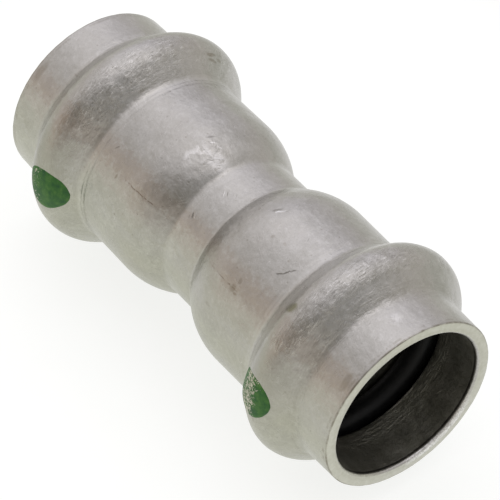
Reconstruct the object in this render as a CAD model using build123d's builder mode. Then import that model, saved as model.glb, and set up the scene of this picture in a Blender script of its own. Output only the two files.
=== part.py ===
"""Press-fit pipe coupling for 22 mm stainless tube: one formed tube body with two
sealing beads, two sealing rings inside them and two painted marker dots.

Millimetres. The pipe axis is X, +Z is up, and the origin is the middle of the
fitting on the pipe axis. The _a pieces are on the +X end, the _b pieces on the -X end.
"""

import os
from math import asin, atan2, cos, hypot, radians, sin, sqrt

from build123d import *

os.makedirs("parts", exist_ok=True)

# ---- driving dimensions, mm ------------------------------------------------
half_length = 34.5        # middle of the fitting to each rim

# lips (the plain ends outside the beads)
rim_outer_radius = 12.90
lip_base_radius = 13.05   # lip outer radius where it meets the bead
bore_radius = 11.15       # both the lip bore and the guide bore behind the bead
rim_outer_round = 0.18
rim_inner_round = 0.42

# beads that hold the sealing rings
bead_centre = 23.64
bead_crest_radius = 16.33
bead_crown_round = 3.48
bead_half_base = 4.80     # middle of the bead to the corner where its flank meets the wall
bead_root_round = 1.55
chamber_crest_radius = 14.60
chamber_crown_round = 1.95
chamber_half_base = 3.86
chamber_mouth_round = 0.90

# body between the bead and the waist
body_radius_bead_side = 13.03
body_radius_dome_side = 13.14
clamp_mark_centre = 17.75  # shallow ring pressed in beside the bead root
clamp_mark_depth = 0.07
clamp_mark_half_width = 0.30
dome_end = 9.94           # where the dome meets the straight part of the body
dome_height = 12.31       # half axes of the dome's elliptical arc
dome_reach = 11.64

# waist in the middle, whose shoulders stop the tubes
waist_radius = 10.74
waist_half_width = 3.04
waist_crease_round = 1.20
waist_bore_radius = 9.05
waist_bore_half_width = 3.30
waist_bore_edge_round = 0.90
guide_end = 9.90          # inner end of the straight guide bore
inner_dome_reach = 8.60

# sealing rings
ring_cord_radius = 1.775
ring_centre_radius = chamber_crest_radius - ring_cord_radius - 0.005

# unpressed-joint leak path: a small local swelling of the bead's body-side flank under
# each dot, with a matching recess inside. Angles are about +X, from +Y towards +Z.
leak_angle_a = 176.0
leak_angle_b = 176.0
swell_x = 22.30           # centre of the swelling's egg shape, measured from the middle
swell_r = 13.60
swell_round = 2.40        # its radius across the bead
swell_reach = 4.20        # its half length round the bead
recess_x = 22.00
recess_r = 10.90
recess_round = 2.25
recess_reach = 3.00

# marker dots, dabbed on radially over the bead crest
dot_angle_a = 171.5
dot_angle_b = 176.0
dot_x_a = 22.95
dot_x_b = 22.65
dot_half_axial = 3.10
dot_half_round = 3.30
dot_thickness = 0.10


def flank_tangent(corner_x, corner_r, centre_x, centre_r, round_r):
    """Point where the straight from a base corner touches the crown circle."""
    dx, dr = centre_x - corner_x, centre_r - corner_r
    span = hypot(dx, dr)
    lean = asin(round_r / span)
    turn = lean if dx > 0 else -lean
    heading = atan2(dr, dx) + turn
    length = sqrt(span * span - round_r * round_r)
    return corner_x + length * cos(heading), corner_r + length * sin(heading)


# ---- outer profile of one half, from the middle to the rim ------------------
crown_centre_r = bead_crest_radius - bead_crown_round
out_in = flank_tangent(bead_centre - bead_half_base, body_radius_bead_side,
                       bead_centre, crown_centre_r, bead_crown_round)
out_out = flank_tangent(bead_centre + bead_half_base, lip_base_radius,
                        bead_centre, crown_centre_r, bead_crown_round)
chamber_centre_r = chamber_crest_radius - chamber_crown_round
in_in = flank_tangent(bead_centre - chamber_half_base, bore_radius,
                      bead_centre, chamber_centre_r, chamber_crown_round)
in_out = flank_tangent(bead_centre + chamber_half_base, bore_radius,
                       bead_centre, chamber_centre_r, chamber_crown_round)


def dome_points(x_start, x_end, top_r, height, reach, steps):
    """Points on an elliptical arc whose top is at x_end, radius top_r."""
    points = []
    for i in range(steps + 1):
        x = x_start + (x_end - x_start) * i / steps
        drop = (x_end - x) / reach
        points.append((x, top_r - height + height * sqrt(1 - drop * drop)))
    return points


def body_radius(x):
    share = (x - dome_end) / (bead_centre - bead_half_base - dome_end)
    return body_radius_dome_side + share * (body_radius_bead_side - body_radius_dome_side)


outer_dome = dome_points(waist_half_width, dome_end, body_radius_dome_side,
                         dome_height, dome_reach, 6)
outer_dome[0] = (waist_half_width, waist_radius)
# inner shoulder, from the waist bore up to the guide bore; a tube's end stops on it
inner_height = (bore_radius - waist_bore_radius) / (
    1 - sqrt(1 - ((guide_end - waist_bore_half_width) / inner_dome_reach) ** 2))
inner_dome = dome_points(waist_bore_half_width, guide_end, bore_radius,
                         inner_height, inner_dome_reach, 6)
inner_dome[0] = (waist_bore_half_width, waist_bore_radius)

def radial_plane(angle):
    """Plane through the pipe axis whose local x is +X and local y points out at angle."""
    a = radians(angle)
    return Plane(origin=(0, 0, 0), x_dir=(1, 0, 0), z_dir=(0, -sin(a), cos(a)))


def round_the_bead(angle):
    a = radians(angle)
    return (0, -sin(a), cos(a))


def at(x, r, angle):
    a = radians(angle)
    return (x, r * cos(a), r * sin(a))


# ---- shapes that form the leak path ------------------------------------------
def egg_plane(x, r, angle):
    return Plane(origin=at(x, r, angle), x_dir=round_the_bead(angle), z_dir=(1, 0, 0))


def egg_axis(x, r, angle):
    return Axis(at(x, r, angle), round_the_bead(angle))


# the band of wall that the outer swelling may grow from
lean = atan2(out_in[1] - body_radius_bead_side, out_in[0] - (bead_centre - bead_half_base))
root = 0.9  # how deep in the wall the swelling is rooted
keep_low = (out_in[0] - 3.4 * cos(lean) + root * sin(lean), out_in[1] - 3.4 * sin(lean) - root * cos(lean))
keep_high = (out_in[0] + 2.6 * cos(lean) + root * sin(lean), out_in[1] + 2.6 * sin(lean) - root * cos(lean))
keep_outline = [keep_low, keep_high,
                (keep_high[0] - 3.0 * sin(lean), keep_high[1] + 3.0 * cos(lean)),
                (keep_low[0] - 3.0 * sin(lean), keep_low[1] + 3.0 * cos(lean))]


def egg(side, angle, x, r, half_round, reach, trimmed):
    """Egg shape lying round the bead; trimmed, only the part above the keep line stays."""
    with BuildPart() as shape:
        with BuildSketch(egg_plane(side * x, r, angle)):
            with BuildLine():
                EllipticalCenterArc((0, 0), reach, half_round, start_angle=0, arc_size=180)
                Line((-reach, 0), (reach, 0))
            make_face()
        revolve(axis=egg_axis(side * x, r, angle))
        if trimmed:
            with BuildSketch(radial_plane(angle - 25)):
                with BuildLine():
                    Polyline(*[(side * px, pr) for px, pr in keep_outline], close=True)
                make_face()
            revolve(axis=Axis.X, revolution_arc=50, mode=Mode.INTERSECT)
    return shape.part


swell_shape_a = egg(1, leak_angle_a, swell_x, swell_r, swell_round, swell_reach, True)
swell_shape_b = egg(-1, leak_angle_b, swell_x, swell_r, swell_round, swell_reach, True)
recess_shape_a = egg(1, leak_angle_a, recess_x, recess_r, recess_round, recess_reach, False)
recess_shape_b = egg(-1, leak_angle_b, recess_x, recess_r, recess_round, recess_reach, False)

# ---- the body ----------------------------------------------------------------
with BuildPart() as fitting_body:
    with BuildSketch(Plane.XY) as wall:
        with BuildLine() as outline:
            # outer skin, middle to rim
            l1 = Line((0, waist_radius), (waist_half_width, waist_radius))
            l2 = Spline(*outer_dome, tangents=[
                (1, (outer_dome[1][1] - outer_dome[0][1]) / (outer_dome[1][0] - outer_dome[0][0]) * 1.09),
                (1, 0)])
            m0 = clamp_mark_centre - clamp_mark_half_width
            m1 = clamp_mark_centre
            m2 = clamp_mark_centre + clamp_mark_half_width
            l3 = Line(outer_dome[-1], (m0, body_radius(m0)))
            l4 = ThreePointArc((m0, body_radius(m0)),
                               (m1, body_radius(m1) - clamp_mark_depth),
                               (m2, body_radius(m2)))
            root_in = (bead_centre - bead_half_base, body_radius_bead_side)
            l5 = Polyline((m2, body_radius(m2)), root_in, out_in)
            l6 = ThreePointArc(out_in, (bead_centre, bead_crest_radius), out_out)
            root_out = (bead_centre + bead_half_base, lip_base_radius)
            l7 = Polyline(out_out, root_out, (half_length, rim_outer_radius),
                          (half_length, bore_radius),
                          (bead_centre + chamber_half_base, bore_radius), in_out)
            l8 = ThreePointArc(in_out, (bead_centre, chamber_crest_radius), in_in)
            l9 = Polyline(in_in, (bead_centre - chamber_half_base, bore_radius),
                          inner_dome[-1])
            l10 = Spline(*reversed(inner_dome), tangents=[
                (-1, 0),
                (-1, -(inner_dome[1][1] - inner_dome[0][1]) / (inner_dome[1][0] - inner_dome[0][0]) * 1.12)])
            l11 = Polyline(inner_dome[0], (0, waist_bore_radius), (0, waist_radius))
        make_face()

        def corner(x, r):
            return wall.vertices().sort_by_distance((x, r, 0))[0]

        fillet([corner(*root_in), corner(*root_out)], bead_root_round)
        fillet([corner(bead_centre + chamber_half_base, bore_radius),
                corner(bead_centre - chamber_half_base, bore_radius)], chamber_mouth_round)
        fillet(corner(half_length, rim_outer_radius), rim_outer_round)
        fillet(corner(half_length, bore_radius), rim_inner_round)
        fillet(corner(waist_half_width, waist_radius), waist_crease_round)
        fillet(corner(waist_bore_half_width, waist_bore_radius), waist_bore_edge_round)
        mirror(about=Plane.YZ)
    revolve(axis=Axis.X)
    add(swell_shape_a)
    add(swell_shape_b)
    add(recess_shape_a, mode=Mode.SUBTRACT)
    add(recess_shape_b, mode=Mode.SUBTRACT)
fitting_body.part.label = "fitting_body"
export_step(fitting_body.part, "parts/fitting_body.step")

# ---- sealing rings -------------------------------------------------------------
with BuildPart() as sealing_ring_a:
    with BuildSketch(Plane.XY):
        with Locations((bead_centre, ring_centre_radius)):
            Circle(ring_cord_radius)
    revolve(axis=Axis.X)
sealing_ring_a.part.label = "sealing_ring_a"
export_step(sealing_ring_a.part, "parts/sealing_ring_a.step")

with BuildPart() as sealing_ring_b:
    with BuildSketch(Plane.XY):
        with Locations((-bead_centre, ring_centre_radius)):
            Circle(ring_cord_radius)
    revolve(axis=Axis.X)
sealing_ring_b.part.label = "sealing_ring_b"
export_step(sealing_ring_b.part, "parts/sealing_ring_b.step")

# ---- marker dots ----------------------------------------------------------------
# a thin skin over the bead, from a little inside the wall to the paint's own thickness
t = dot_thickness
skin_depth = 0.5
skin_low = (out_in[0] - 2.0 * cos(lean), out_in[1] - 2.0 * sin(lean))
lean_out = atan2(out_out[1] - lip_base_radius, (bead_centre + bead_half_base) - out_out[0])
skin_far = (out_out[0] + 2.0 * cos(lean_out), out_out[1] - 2.0 * sin(lean_out))


def skin_outline(d):
    """Bead profile moved out by d: flank, crown and flank."""
    a = (skin_low[0] - d * sin(lean), skin_low[1] + d * cos(lean))
    b = (out_in[0] - d * sin(lean), out_in[1] + d * cos(lean))
    c = (bead_centre, bead_crest_radius + d)
    e = (out_out[0] + d * sin(lean_out), out_out[1] + d * cos(lean_out))
    f = (skin_far[0] + d * sin(lean_out), skin_far[1] + d * cos(lean_out))
    return a, b, c, e, f


def bead_skin(side, angle):
    """Sector of skin over one bead, from inside the wall to the paint's outer face."""
    low = [(side * px, pr) for px, pr in skin_outline(-skin_depth)]
    high = [(side * px, pr) for px, pr in skin_outline(t)]
    with BuildPart() as skin:
        with BuildSketch(radial_plane(angle - 22)):
            with BuildLine():
                Line(low[0], low[1])
                ThreePointArc(low[1], low[2], low[3])
                Polyline(low[3], low[4], high[4], high[3])
                ThreePointArc(high[3], high[2], high[1])
                Polyline(high[1], high[0], low[0])
            make_face()
        revolve(axis=Axis.X, revolution_arc=44)
    return skin.part


def dab_plane(x, angle):
    a = radians(angle)
    return Plane(origin=at(x, 10.0, angle), x_dir=(1, 0, 0), z_dir=(0, cos(a), sin(a)))


paint_shape_a = bead_skin(1, dot_angle_a) + egg(
    1, leak_angle_a, swell_x, swell_r, swell_round + t, swell_reach + t, True)
paint_shape_b = bead_skin(-1, dot_angle_b) + egg(
    -1, leak_angle_b, swell_x, swell_r, swell_round + t, swell_reach + t, True)

with BuildPart() as marker_dot_a:
    with BuildSketch(dab_plane(dot_x_a, dot_angle_a)):
        Ellipse(dot_half_axial, dot_half_round)
    extrude(amount=8)
    add(paint_shape_a, mode=Mode.INTERSECT)
    add(fitting_body.part, mode=Mode.SUBTRACT)
marker_dot_a.part.label = "marker_dot_a"
export_step(marker_dot_a.part, "parts/marker_dot_a.step")

with BuildPart() as marker_dot_b:
    with BuildSketch(dab_plane(-dot_x_b, dot_angle_b)):
        Ellipse(dot_half_axial, dot_half_round)
    extrude(amount=8)
    add(paint_shape_b, mode=Mode.INTERSECT)
    add(fitting_body.part, mode=Mode.SUBTRACT)
marker_dot_b.part.label = "marker_dot_b"
export_step(marker_dot_b.part, "parts/marker_dot_b.step")
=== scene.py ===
import math

import bpy
import numpy as np
from mathutils import Matrix, Vector


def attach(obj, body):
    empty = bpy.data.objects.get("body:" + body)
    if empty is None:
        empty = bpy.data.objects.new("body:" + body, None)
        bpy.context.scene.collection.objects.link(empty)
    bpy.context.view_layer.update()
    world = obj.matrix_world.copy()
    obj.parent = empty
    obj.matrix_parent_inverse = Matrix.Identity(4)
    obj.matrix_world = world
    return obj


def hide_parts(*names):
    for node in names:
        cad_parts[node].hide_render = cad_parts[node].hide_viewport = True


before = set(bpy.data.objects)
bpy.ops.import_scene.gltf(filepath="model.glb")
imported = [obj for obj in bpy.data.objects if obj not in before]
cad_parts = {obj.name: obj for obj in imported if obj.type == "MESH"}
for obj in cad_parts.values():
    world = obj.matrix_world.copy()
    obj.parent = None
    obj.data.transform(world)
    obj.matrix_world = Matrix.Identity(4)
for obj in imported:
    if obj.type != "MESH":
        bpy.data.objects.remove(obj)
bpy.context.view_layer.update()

MM = 0.001

# ---------------------------------------------------------------------------
# sizes, mm: the same numbers as the CAD source
# ---------------------------------------------------------------------------
HALF = 34.5
RIM_R, LIP_BASE_R, BORE_R = 12.90, 13.05, 11.15
BEAD_X, BEAD_R, CROWN, BEAD_HALF = 23.64, 16.33, 3.48, 4.80
CH_R, CH_CROWN, CH_HALF_LIP, CH_HALF_BODY = 14.60, 1.95, 3.10, 3.86
BODY_R_BEAD, BODY_R_DOME = 13.03, 13.14
DOME_END, DOME_H, DOME_A = 9.94, 12.31, 11.64
WAIST_R, WAIST_HALF = 10.74, 3.04
WB_R, WB_HALF, GUIDE_END, WB_A = 9.05, 3.30, 9.90, 8.60
RING_R, RING_C = 1.775, CH_R - 1.775 - 0.005
LEAK_A, LEAK_B = 176.0, 176.0
# where the marker dots lie: x and angle of the middle, half sizes across and round
DOTS = {"marker_dot_a": (1, 22.95, 171.5, 3.10, 3.30), "marker_dot_b": (-1, 22.65, 176.0, 3.10, 3.30)}


# ---------------------------------------------------------------------------
# profile of one half of the body wall
# ---------------------------------------------------------------------------
def unit(v):
    n = math.hypot(*v)
    return (v[0] / n, v[1] / n)


def tangent(cx, cr, ox, orr, rr):
    dx, dr = ox - cx, orr - cr
    span = math.hypot(dx, dr)
    lean = math.asin(rr / span)
    a = math.atan2(dr, dx) + (lean if dx > 0 else -lean)
    n = math.sqrt(span * span - rr * rr)
    return (cx + n * math.cos(a), cr + n * math.sin(a))


def rounded(p, rounds, step=0.16):
    """Polyline p with each corner i rounded by rounds[i]; arcs are sampled about every step."""
    out = []
    for i, q in enumerate(p):
        r = rounds.get(i, 0)
        if r <= 0:
            out.append(q)
            continue
        a, b = p[i - 1], p[i + 1]
        u, v = unit((a[0] - q[0], a[1] - q[1])), unit((b[0] - q[0], b[1] - q[1]))
        half = math.acos(max(-1, min(1, u[0] * v[0] + u[1] * v[1]))) / 2
        t = r / math.tan(half)
        m = unit((u[0] + v[0], u[1] + v[1]))
        c = (q[0] + m[0] * r / math.sin(half), q[1] + m[1] * r / math.sin(half))
        s = (q[0] + u[0] * t, q[1] + u[1] * t)
        e = (q[0] + v[0] * t, q[1] + v[1] * t)
        a0, a1 = math.atan2(s[1] - c[1], s[0] - c[0]), math.atan2(e[1] - c[1], e[0] - c[0])
        while a1 - a0 > math.pi:
            a1 -= 2 * math.pi
        while a1 - a0 < -math.pi:
            a1 += 2 * math.pi
        n = max(3, int(abs(a1 - a0) * r / step) + 1)
        out += [(c[0] + r * math.cos(a0 + (a1 - a0) * k / n), c[1] + r * math.sin(a0 + (a1 - a0) * k / n))
                for k in range(n + 1)]
    return out


def arc(c, r, p, q, step=0.30):
    a0, a1 = math.atan2(p[1] - c[1], p[0] - c[0]), math.atan2(q[1] - c[1], q[0] - c[0])
    n = max(4, int(abs(a1 - a0) * r / step) + 1)
    return [(c[0] + r * math.cos(a0 + (a1 - a0) * k / n), c[1] + r * math.sin(a0 + (a1 - a0) * k / n))
            for k in range(n + 1)]


crown_c = (BEAD_X, BEAD_R - CROWN)
o_in = tangent(BEAD_X - BEAD_HALF, BODY_R_BEAD, *crown_c, CROWN)
o_out = tangent(BEAD_X + BEAD_HALF, LIP_BASE_R, *crown_c, CROWN)
ch_c = (BEAD_X, CH_R - CH_CROWN)
i_in = tangent(BEAD_X - CH_HALF_BODY, BORE_R, *ch_c, CH_CROWN)
i_out = tangent(BEAD_X + CH_HALF_LIP, BORE_R, *ch_c, CH_CROWN)


def ellipse(x, top_x, top_r, h, a):
    return top_r - h + h * math.sqrt(max(0.0, 1 - ((top_x - x) / a) ** 2))


def body_r(x):
    return BODY_R_DOME + (x - DOME_END) / (BEAD_X - BEAD_HALF - DOME_END) * (BODY_R_BEAD - BODY_R_DOME)


inner_h = (BORE_R - WB_R) / (1 - math.sqrt(1 - ((GUIDE_END - WB_HALF) / WB_A) ** 2))
dome = [(x, ellipse(x, DOME_END, BODY_R_DOME, DOME_H, DOME_A)) for x in np.linspace(WAIST_HALF + 0.75, DOME_END, 20)]
# outer skin, from the middle to the rim
outer = rounded([(0.0, WAIST_R), (WAIST_HALF, WAIST_R), (WAIST_HALF + 0.70, ellipse(WAIST_HALF + 0.70, DOME_END, BODY_R_DOME, DOME_H, DOME_A))], {1: 1.20})
outer = [(0.0, WAIST_R)] + [p for p in outer[1:-1]] + dome
# the clamp mark beside the bead root: a fine groove between two soft shoulders
mark = [(16.75, 0.000), (17.00, 0.004), (17.20, 0.011), (17.38, 0.009), (17.54, -0.010), (17.70, -0.026),
        (17.86, -0.014), (18.00, 0.006), (18.12, 0.010)]
outer += [(x, body_r(x)) for x in np.linspace(DOME_END + 0.5, 16.5, 12)] + [(x, body_r(x) + d) for x, d in mark]
bead = rounded([(18.4, body_r(18.4)), (BEAD_X - BEAD_HALF, BODY_R_BEAD), o_in], {1: 1.55})[1:]
bead += arc(crown_c, CROWN, o_in, o_out)[1:]
lip = rounded([o_out, (BEAD_X + BEAD_HALF, LIP_BASE_R), (HALF, RIM_R), (HALF, BORE_R), (BEAD_X + CH_HALF_LIP, BORE_R), i_out],
              {1: 1.55, 2: 0.20, 3: 0.42, 4: 0.60}, step=0.07)[1:]
outer += bead + lip
inner = arc(ch_c, CH_CROWN, i_out, i_in)[1:]
inner += rounded([i_in, (BEAD_X - CH_HALF_BODY, BORE_R), (GUIDE_END, BORE_R)], {1: 0.90})[1:]
inner += [(x, ellipse(x, GUIDE_END, BORE_R, inner_h, WB_A)) for x in np.linspace(GUIDE_END - 0.4, WB_HALF + 0.7, 14)]
inner += [(WB_HALF + 0.35, WB_R + 0.16), (WB_HALF + 0.05, WB_R + 0.04), (WB_HALF - 0.4, WB_R), (0.0, WB_R)]


def resample(points, longest):
    """Adds points on straight runs longer than longest(x), and drops points nearly on top of each other."""
    out = [points[0]]
    for q in points[1:]:
        p = out[-1]
        d = math.hypot(q[0] - p[0], q[1] - p[1])
        if d < 0.012:
            continue
        n = max(1, int(math.ceil(d / longest)))
        out += [(p[0] + (q[0] - p[0]) * k / n, p[1] + (q[1] - p[1]) * k / n) for k in range(1, n + 1)]
    return out


half = resample(outer, 0.55)
n_outer = 1 + next(i for i, q in enumerate(half) if q[0] > HALF - 1e-4)
half_in = resample([half[-1]] + inner, 0.75)[1:]
right = half + half_in                      # (0, waist) ... rim ... (0, waist bore)
left = [(-x, r) for x, r in reversed(right[1:-1])]
loop = right + left                         # closed, once round the wall section
loop_x = np.array([p[0] for p in loop])
loop_r = np.array([p[1] for p in loop])
N_LOOP = len(loop)

# outward normals of the section in (x, r)
nxt, prv = np.roll(np.arange(N_LOOP), -1), np.roll(np.arange(N_LOOP), 1)
tx, tr = loop_x[nxt] - loop_x[prv], loop_r[nxt] - loop_r[prv]
ln = np.hypot(tx, tr)
sec_nx, sec_nr = -tr / ln, tx / ln
area2 = float(np.sum(loop_x * loop_r[nxt] - loop_x[nxt] * loop_r))
if area2 > 0:
    sec_nx, sec_nr = -sec_nx, -sec_nr
is_outer = np.zeros(N_LOOP, bool)
is_outer[:n_outer] = True
is_outer[N_LOOP - (n_outer - 1):] = True

rng = np.random.default_rng(7)


def smooth_noise(a, b, seed, freqs, amp):
    """Sum of a few smooth waves round the part and along it."""
    g = np.random.default_rng(seed)
    total = np.zeros(np.broadcast(a, b).shape)
    for k, w in freqs:
        total += amp * g.uniform(0.4, 1.0) * np.sin(k * a + w * b + g.uniform(0, 6.28))
    return total / len(freqs)


def make_mesh(name, verts, faces, sharp=None):
    mesh = bpy.data.meshes.new(name)
    mesh.from_pydata(verts.tolist(), [], faces)
    mesh.validate()
    mesh.update()
    mesh.shade_smooth()
    obj = bpy.data.objects.new(name, mesh)
    bpy.context.scene.collection.objects.link(obj)
    return obj


def swell(x, theta_deg, centre_x, centre_deg, long_mm, wide_mm, r):
    d_arc = np.radians((theta_deg - centre_deg + 180) % 360 - 180) * r
    return np.exp(-((x - centre_x) / wide_mm) ** 2 - (d_arc / long_mm) ** 2)


SEG = 280
theta = np.arange(SEG) * (2 * math.pi / SEG)
TH, LX = np.meshgrid(theta, loop_x, indexing="ij")
LR = np.broadcast_to(loop_r, TH.shape).copy()
NX = np.broadcast_to(sec_nx, TH.shape)
NR = np.broadcast_to(sec_nr, TH.shape)
OUT = np.broadcast_to(is_outer, TH.shape)
push = np.zeros(TH.shape)
deg = np.degrees(TH)
# leak path: the body-side flank of each bead swells a little under its dot
for side, angle in ((1, LEAK_A), (-1, LEAK_B)):
    out_bump = swell(LX, deg, side * 20.85, angle, 2.7, 1.35, 15.0)
    push += np.where(OUT, 0.40 * out_bump, 0.0)
    in_bump = swell(LX, deg, side * 20.6, angle, 2.0, 1.1, 12.2)
    near_wall = (~OUT) & (np.abs(LR - 12.1) < 1.6)
    push -= np.where(near_wall, 0.35 * in_bump, 0.0)
# formed, not machined: the skin wanders by a few hundredths, most on the domes
wander = smooth_noise(TH, LX * 0.30, 11, [(1, 1), (2, -1), (3, 0.6), (2, 1.7), (5, 0.8), (4, -1.6)], 0.030)
push += np.where(OUT & (np.abs(LX) < 33.6), wander, 0.0)
# faint hand-worked flats on the bead crowns
crown_zone = np.exp(-((np.abs(LX) - BEAD_X) / 2.2) ** 2)
push += np.where(OUT, crown_zone * smooth_noise(TH, LX * 0.9, 5, [(9, 1), (14, -1), (21, 0.5), (27, 1.3)], 0.020), 0.0)
# the waist's edges stand up a little where the forming tool ended
push += np.where(OUT, 0.034 * np.exp(-((np.abs(LX) - 2.36) / 0.16) ** 2), 0.0)
# burr and saw waviness at the rim's outer edge
rim_zone = np.exp(-((np.abs(LX) - HALF) / 0.22) ** 2) * np.exp(-((LR - RIM_R) / 0.3) ** 2)
push += rim_zone * smooth_noise(TH, 0 * LX, 23, [(7, 0), (12, 0), (19, 0), (31, 0), (47, 0)], 0.035)
lowest_allowed = 16.33
X = LX + NX * push
R = np.minimum(LR + NR * push, lowest_allowed + 0.02)
body_verts = np.stack([X, R * np.cos(TH), R * np.sin(TH)], -1).reshape(-1, 3) * MM
idx = np.arange(SEG * N_LOOP).reshape(SEG, N_LOOP)
a = idx
b = np.roll(idx, -1, 1)
c = np.roll(np.roll(idx, -1, 1), -1, 0)
d = np.roll(idx, -1, 0)
quads = np.stack([a, d, c, b], -1).reshape(-1, 4)
if area2 > 0:
    quads = quads[:, ::-1]
body = make_mesh("formed_body", body_verts, quads.tolist())
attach(body, "root")
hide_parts("fitting_body")


def signed_volume(obj):
    m = obj.data
    m.calc_loop_triangles()
    co = np.zeros(len(m.vertices) * 3)
    m.vertices.foreach_get("co", co)
    co = co.reshape(-1, 3)
    t = np.zeros(len(m.loop_triangles) * 3, int)
    m.loop_triangles.foreach_get("vertices", t)
    t = t.reshape(-1, 3)
    return float(np.einsum("ij,ij->i", co[t[:, 0]], np.cross(co[t[:, 1]], co[t[:, 2]])).sum() / 6)


def face_out(obj):
    if signed_volume(obj) < 0:
        obj.data.flip_normals()


face_out(body)

# ---------------------------------------------------------------------------
# sealing rings: moulded cord with a fine parting ridge on the inside
# ---------------------------------------------------------------------------
def ring(name, side, node):
    major, minor = 224, 48
    A = np.arange(major) * 2 * math.pi / major
    B = np.arange(minor) * 2 * math.pi / minor
    AA, BB = np.meshgrid(A, B, indexing="ij")
    ridge = 0.030 * (np.exp(-((BB - math.pi) / 0.09) ** 2))
    lumps = 0.008 * np.sin(5 * AA + 1.1) + 0.006 * np.sin(11 * AA + 2 * BB)
    rr = RING_R - 0.012 + ridge + lumps
    x = side * BEAD_X + rr * np.sin(BB)
    r = RING_C + rr * np.cos(BB)
    v = np.stack([x, r * np.cos(AA), r * np.sin(AA)], -1).reshape(-1, 3) * MM
    i = np.arange(major * minor).reshape(major, minor)
    q = np.stack([i, np.roll(i, -1, 0), np.roll(np.roll(i, -1, 0), -1, 1), np.roll(i, -1, 1)], -1).reshape(-1, 4)
    obj = make_mesh(name, v, q.tolist())
    face_out(obj)
    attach(obj, "root")
    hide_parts(node)
    return obj


ring_a = ring("seal_ring_near", 1, "sealing_ring_a")
ring_b = ring("seal_ring_far", -1, "sealing_ring_b")


# ---------------------------------------------------------------------------
# marker dots: a closed skin of paint, thicker in the middle, on the formed surface
# ---------------------------------------------------------------------------
order = np.argsort(loop_x[:n_outer])
prof_x, prof_r = loop_x[:n_outer][order], loop_r[:n_outer][order]


def surface(side, x, th_deg):
    """Point and normal of the outer skin at |x| and angle, leak swelling and wander included."""
    r = np.interp(x, prof_x, prof_r)
    e = 0.02
    slope = (np.interp(x + e, prof_x, prof_r) - np.interp(x - e, prof_x, prof_r)) / (2 * e)
    n = np.hypot(1.0, slope)
    nx, nr = -slope / n, 1 / n
    angle = LEAK_A if side > 0 else LEAK_B
    T = np.radians(th_deg)
    sx = side * x
    p = 0.40 * swell(sx, th_deg, side * 20.85, angle, 2.7, 1.35, 15.0)
    p = p + smooth_noise(T, sx * 0.30, 11, [(1, 1), (2, -1), (3, 0.6), (2, 1.7), (5, 0.8), (4, -1.6)], 0.030)
    zone = np.exp(-((x - BEAD_X) / 2.2) ** 2)
    p = p + zone * smooth_noise(T, sx * 0.9, 5, [(9, 1), (14, -1), (21, 0.5), (27, 1.3)], 0.020)
    return sx, r, side * nx, nr, p, T


def dot(name, node, seed):
    side, cx, cdeg, ha, hr = DOTS[node]
    g = np.random.default_rng(seed)
    rings_n, around = 26, 128
    ph = np.arange(around) * 2 * math.pi / around
    edge = 1.0 + sum(a * g.uniform(0.5, 1.0) * np.sin(k * ph + g.uniform(0, 6.28)) for k, a in ((2, 0.014), (3, 0.012), (5, 0.007), (9, 0.004), (17, 0.003)))
    top, bottom = [], []
    for k in range(1, rings_n + 1):
        t = k / rings_n
        x = cx + ha * t * edge * np.cos(ph)
        th = cdeg + np.degrees(hr * t * edge * np.sin(ph) / BEAD_R)
        sx, r, nx, nr, p, T = surface(side, x, th)
        lift = 0.055 * (1 - t ** 7) + 0.014 * np.exp(-((t - 0.9) / 0.06) ** 2)
        for group, h in ((top, lift), (bottom, -0.045 * np.ones_like(ph))):
            rr = r + nr * (p + h)
            group.append(np.stack([sx + nx * (p + h), rr * np.cos(T), rr * np.sin(T)], -1))
    sx, r, nx, nr, p, T = surface(side, np.array([cx]), np.array([cdeg]))
    mids = [np.stack([sx + nx * (p + h), (r + nr * (p + h)) * np.cos(T), (r + nr * (p + h)) * np.sin(T)], -1)[0]
            for h in (0.055, -0.045)]
    verts = [mids[0], mids[1]] + [v for row in top for v in row] + [v for row in bottom for v in row]
    T0, B0 = 2, 2 + rings_n * around
    faces = []
    for j in range(around):
        k = (j + 1) % around
        faces.append((0, T0 + j, T0 + k))
        faces.append((1, B0 + k, B0 + j))
        for m in range(rings_n - 1):
            p0, p1 = T0 + m * around, T0 + (m + 1) * around
            faces.append((p0 + j, p1 + j, p1 + k, p0 + k))
            p0, p1 = B0 + m * around, B0 + (m + 1) * around
            faces.append((p0 + k, p1 + k, p1 + j, p0 + j))
        m = (rings_n - 1) * around
        faces.append((T0 + m + j, B0 + m + j, B0 + m + k, T0 + m + k))
    obj = make_mesh(name, np.array(verts) * MM, faces)
    face_out(obj)
    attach(obj, "root")
    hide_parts(node)
    return obj


dot_a = dot("paint_dot_near", "marker_dot_a", 31)
dot_b = dot("paint_dot_far", "marker_dot_b", 32)


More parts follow.
